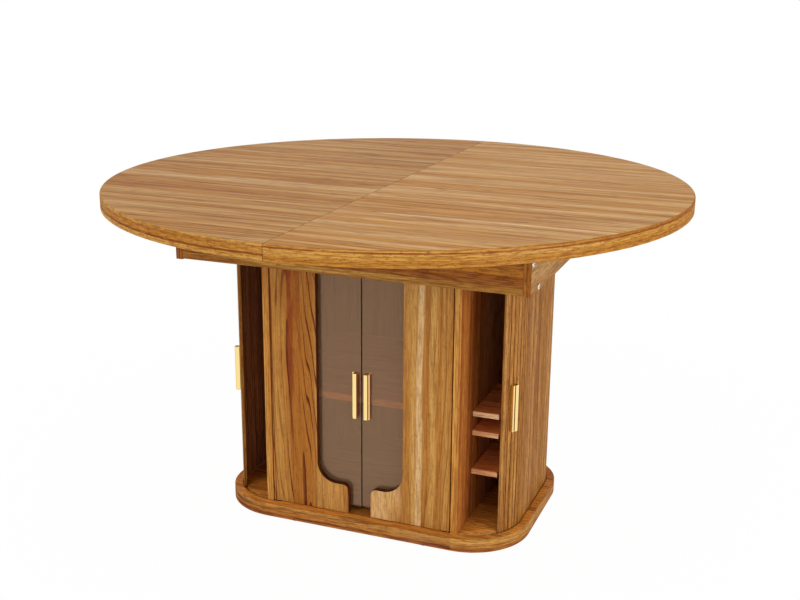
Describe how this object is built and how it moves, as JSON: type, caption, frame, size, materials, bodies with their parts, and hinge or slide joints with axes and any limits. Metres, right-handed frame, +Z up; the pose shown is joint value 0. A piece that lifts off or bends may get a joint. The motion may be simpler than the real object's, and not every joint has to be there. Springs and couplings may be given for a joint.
{
  "type": "kitchen table with storage cabinet",
  "caption": "Round two-part tabletop on an apron box over an oval-ended storage cabinet, with hinged glass-and-panel doors in front and a slatted tambour sliding round each end.",
  "frame": {"origin": "on the floor, under the middle of the round top", "axes": "+Z up, +X along the cabinet to the viewer's right, -Y the front with the doors"},
  "size_m": [1.3, 1.3, 0.76],
  "materials": {
    "top_laminate": "satin oak-look laminate",
    "apron_laminate": "satin oak-look laminate",
    "ceiling_laminate": "satin oak-look laminate",
    "cabinet_laminate": "satin oak-look laminate",
    "plinth_laminate": "satin oak-look laminate",
    "shelf_laminate": "satin oak-look laminate",
    "door_laminate": "satin oak-look laminate",
    "back_board": "satin oak-look board",
    "raw_board": "plain softwood",
    "tambour_slat": "satin oak-look slats",
    "tinted_glass": "brown tinted, polished",
    "gold_aluminium": "gold anodised, brushed",
    "bright_steel": "nickel plated",
    "black_plastic": "matt"
  },
  "bodies": {
    "table": {"apron_back": "apron_laminate", "apron_bolts": "bright_steel", "apron_corner_blocks": "raw_board", "apron_front": "apron_laminate", "apron_middle_rail": "apron_laminate", "back_panel": "back_board", "bay_shelf_lower": "shelf_laminate", "bay_shelf_middle": "shelf_laminate", "bay_shelf_upper": "shelf_laminate", "cabinet_ceiling": "ceiling_laminate", "centre_shelf": "shelf_laminate", "door_catch": "black_plastic", "end_board_left": "apron_laminate", "end_board_right": "apron_laminate", "partition_left": "cabinet_laminate", "partition_right": "cabinet_laminate", "pivot_bushes": "bright_steel", "plinth_board": "plinth_laminate", "plinth_feet": "black_plastic", "rear_corner_left": "back_board", "rear_corner_right": "back_board", "seam_brackets": "bright_steel", "shelf_pins": "bright_steel", "top_left": "top_laminate", "top_right": "top_laminate"},
    "left_door": {"door_left_glass": "tinted_glass", "door_left_glass_clips": "black_plastic", "door_left_handle": "gold_aluminium", "door_left_panel": "door_laminate", "door_left_pivots": "bright_steel", "door_left_strike": "bright_steel"},
    "right_door": {"door_right_glass": "tinted_glass", "door_right_glass_clips": "black_plastic", "door_right_handle": "gold_aluminium", "door_right_panel": "door_laminate", "door_right_pivots": "bright_steel", "door_right_strike": "bright_steel"},
    "left_tambour_lead": {"tambour_left_lead": "tambour_slat", "tambour_left_handle": "gold_aluminium"},
    "left_tambour_front_turn_1": {"tambour_left_front_turn_1": "tambour_slat"},
    "left_tambour_front_turn_2": {"tambour_left_front_turn_2": "tambour_slat"},
    "left_tambour_front_turn_3": {"tambour_left_front_turn_3": "tambour_slat"},
    "left_tambour_side": {"tambour_left_side": "tambour_slat"},
    "left_tambour_rear_turn_1": {"tambour_left_rear_turn_1": "tambour_slat"},
    "left_tambour_rear_turn_2": {"tambour_left_rear_turn_2": "tambour_slat"},
    "left_tambour_rear_turn_3": {"tambour_left_rear_turn_3": "tambour_slat"},
    "left_tambour_tail": {"tambour_left_tail": "tambour_slat"},
    "right_tambour_lead": {"tambour_right_lead": "tambour_slat", "tambour_right_handle": "gold_aluminium"},
    "right_tambour_front_turn_1": {"tambour_right_front_turn_1": "tambour_slat"},
    "right_tambour_front_turn_2": {"tambour_right_front_turn_2": "tambour_slat"},
    "right_tambour_front_turn_3": {"tambour_right_front_turn_3": "tambour_slat"},
    "right_tambour_side": {"tambour_right_side": "tambour_slat"},
    "right_tambour_rear_turn_1": {"tambour_right_rear_turn_1": "tambour_slat"},
    "right_tambour_rear_turn_2": {"tambour_right_rear_turn_2": "tambour_slat"},
    "right_tambour_rear_turn_3": {"tambour_right_rear_turn_3": "tambour_slat"},
    "right_tambour_tail": {"tambour_right_tail": "tambour_slat"}
  },
  "joints": [
    {"name": "left_door_hinge", "type": "hinge", "parent": "table", "child": "left_door", "pos_m": [-0.2075, -0.219, 0.04], "axis": [0, 0, -1], "range_deg": [0, 100]},
    {"name": "right_door_hinge", "type": "hinge", "parent": "table", "child": "right_door", "pos_m": [0.2075, -0.219, 0.04], "axis": [0, 0, 1], "range_deg": [0, 100]},
    {"name": "left_tambour_lead_travel", "type": "hinge", "parent": "table", "child": "left_tambour_lead", "pos_m": [-0.2225, -0.1055, 0.3], "axis": [0, 0, -1], "range_deg": [-45, 5]},
    {"name": "left_tambour_front_turn_1_travel", "type": "hinge", "parent": "table", "child": "left_tambour_front_turn_1", "pos_m": [-0.20023, -0.09794, 0.3], "axis": [0, 0, -1], "range_deg": [-37.6, 4.27]},
    {"name": "left_tambour_front_turn_2_travel", "type": "hinge", "parent": "table", "child": "left_tambour_front_turn_2", "pos_m": [-0.10849, -0.08282, 0.3], "axis": [0, 0, -1], "range_deg": [-22.6, 2.6]},
    {"name": "left_tambour_front_turn_3_travel", "type": "hinge", "parent": "table", "child": "left_tambour_front_turn_3", "pos_m": [0.35418, -0.0677, 0.3], "axis": [0, 0, -1], "range_deg": [-7.6, 0.93]},
    {"name": "left_tambour_side_travel", "type": "slide", "parent": "table", "child": "left_tambour_side", "axis": [0, 1, 0], "range_m": [-0.09091, 0.01028]},
    {"name": "left_tambour_rear_turn_1_travel", "type": "hinge", "parent": "table", "child": "left_tambour_rear_turn_1", "pos_m": [0.35418, 0.0677, 0.3], "axis": [0, 0, -1], "range_deg": [-7.6, 0.93]},
    {"name": "left_tambour_rear_turn_2_travel", "type": "hinge", "parent": "table", "child": "left_tambour_rear_turn_2", "pos_m": [-0.10849, 0.08282, 0.3], "axis": [0, 0, -1], "range_deg": [-22.6, 2.6]},
    {"name": "left_tambour_rear_turn_3_travel", "type": "hinge", "parent": "table", "child": "left_tambour_rear_turn_3", "pos_m": [-0.20023, 0.09794, 0.3], "axis": [0, 0, -1], "range_deg": [-37.6, 4.27]},
    {"name": "left_tambour_tail_travel", "type": "hinge", "parent": "table", "child": "left_tambour_tail", "pos_m": [-0.2225, 0.1055, 0.3], "axis": [0, 0, -1], "range_deg": [-45.1, 5.1]},
    {"name": "right_tambour_lead_travel", "type": "hinge", "parent": "table", "child": "right_tambour_lead", "pos_m": [0.2225, -0.1055, 0.3], "axis": [0, 0, 1], "range_deg": [-45, 5]},
    {"name": "right_tambour_front_turn_1_travel", "type": "hinge", "parent": "table", "child": "right_tambour_front_turn_1", "pos_m": [0.20023, -0.09794, 0.3], "axis": [0, 0, 1], "range_deg": [-37.6, 4.27]},
    {"name": "right_tambour_front_turn_2_travel", "type": "hinge", "parent": "table", "child": "right_tambour_front_turn_2", "pos_m": [0.10849, -0.08282, 0.3], "axis": [0, 0, 1], "range_deg": [-22.6, 2.6]},
    {"name": "right_tambour_front_turn_3_travel", "type": "hinge", "parent": "table", "child": "right_tambour_front_turn_3", "pos_m": [-0.35418, -0.0677, 0.3], "axis": [0, 0, 1], "range_deg": [-7.6, 0.93]},
    {"name": "right_tambour_side_travel", "type": "slide", "parent": "table", "child": "right_tambour_side", "axis": [0, 1, 0], "range_m": [-0.09091, 0.01028]},
    {"name": "right_tambour_rear_turn_1_travel", "type": "hinge", "parent": "table", "child": "right_tambour_rear_turn_1", "pos_m": [-0.35418, 0.0677, 0.3], "axis": [0, 0, 1], "range_deg": [-7.6, 0.93]},
    {"name": "right_tambour_rear_turn_2_travel", "type": "hinge", "parent": "table", "child": "right_tambour_rear_turn_2", "pos_m": [0.10849, 0.08282, 0.3], "axis": [0, 0, 1], "range_deg": [-22.6, 2.6]},
    {"name": "right_tambour_rear_turn_3_travel", "type": "hinge", "parent": "table", "child": "right_tambour_rear_turn_3", "pos_m": [0.20023, 0.09794, 0.3], "axis": [0, 0, 1], "range_deg": [-37.6, 4.27]},
    {"name": "right_tambour_tail_travel", "type": "hinge", "parent": "table", "child": "right_tambour_tail", "pos_m": [0.2225, 0.1055, 0.3], "axis": [0, 0, 1], "range_deg": [-45.1, 5.1]}
  ],
  "couplings": [
    {"joint": "left_tambour_front_turn_1_travel", "follows": "left_tambour_lead_travel", "ratio": 0.83333},
    {"joint": "left_tambour_front_turn_2_travel", "follows": "left_tambour_lead_travel", "ratio": 0.5},
    {"joint": "left_tambour_front_turn_3_travel", "follows": "left_tambour_lead_travel", "ratio": 0.16667},
    {"joint": "left_tambour_side_travel", "follows": "left_tambour_lead_travel", "m_per_rad": 0.1155},
    {"joint": "left_tambour_rear_turn_1_travel", "follows": "left_tambour_lead_travel", "ratio": 0.16667},
    {"joint": "left_tambour_rear_turn_2_travel", "follows": "left_tambour_lead_travel", "ratio": 0.5},
    {"joint": "left_tambour_rear_turn_3_travel", "follows": "left_tambour_lead_travel", "ratio": 0.83333},
    {"joint": "left_tambour_tail_travel", "follows": "left_tambour_lead_travel", "ratio": 1},
    {"joint": "right_tambour_front_turn_1_travel", "follows": "right_tambour_lead_travel", "ratio": 0.83333},
    {"joint": "right_tambour_front_turn_2_travel", "follows": "right_tambour_lead_travel", "ratio": 0.5},
    {"joint": "right_tambour_front_turn_3_travel", "follows": "right_tambour_lead_travel", "ratio": 0.16667},
    {"joint": "right_tambour_side_travel", "follows": "right_tambour_lead_travel", "m_per_rad": 0.1155},
    {"joint": "right_tambour_rear_turn_1_travel", "follows": "right_tambour_lead_travel", "ratio": 0.16667},
    {"joint": "right_tambour_rear_turn_2_travel", "follows": "right_tambour_lead_travel", "ratio": 0.5},
    {"joint": "right_tambour_rear_turn_3_travel", "follows": "right_tambour_lead_travel", "ratio": 0.83333},
    {"joint": "right_tambour_tail_travel", "follows": "right_tambour_lead_travel", "ratio": 1}
  ]
}
